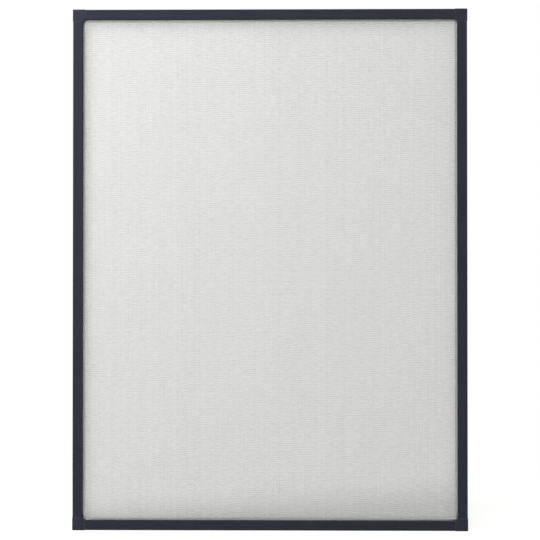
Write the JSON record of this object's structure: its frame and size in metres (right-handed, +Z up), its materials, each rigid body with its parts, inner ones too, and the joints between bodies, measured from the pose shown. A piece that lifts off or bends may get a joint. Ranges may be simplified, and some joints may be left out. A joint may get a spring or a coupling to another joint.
{
  "type": "window screen frame",
  "caption": "Rectangular window screen: hollow rails joined by corner pieces, with insect mesh held in their grooves by cord.",
  "frame": {"origin": "centre of the whole frame: half its width, half its height and half its thickness", "axes": "+X to the right and +Z up, seen from the side with the grooves and cords, which faces -Y; +Y points out of the flat back face"},
  "size_m": [0.8, 0.011, 1.056],
  "materials": {
    "coated_aluminium": "anthracite powder coat, satin",
    "corner_plastic": "moulded, fine grain, matt",
    "cord_vinyl": "pale grey, matt, fluted",
    "insect_mesh": "pale grey coated glass yarn, plain weave"
  },
  "bodies": {
    "root": {"top_rail": "coated_aluminium", "bottom_rail": "coated_aluminium", "left_rail": "coated_aluminium", "right_rail": "coated_aluminium", "top_left_corner": "corner_plastic", "top_right_corner": "corner_plastic", "bottom_left_corner": "corner_plastic", "bottom_right_corner": "corner_plastic", "top_spline": "cord_vinyl", "bottom_spline": "cord_vinyl", "left_spline": "cord_vinyl", "right_spline": "cord_vinyl", "insect_mesh": "insect_mesh"}
  },
  "joints": []
}
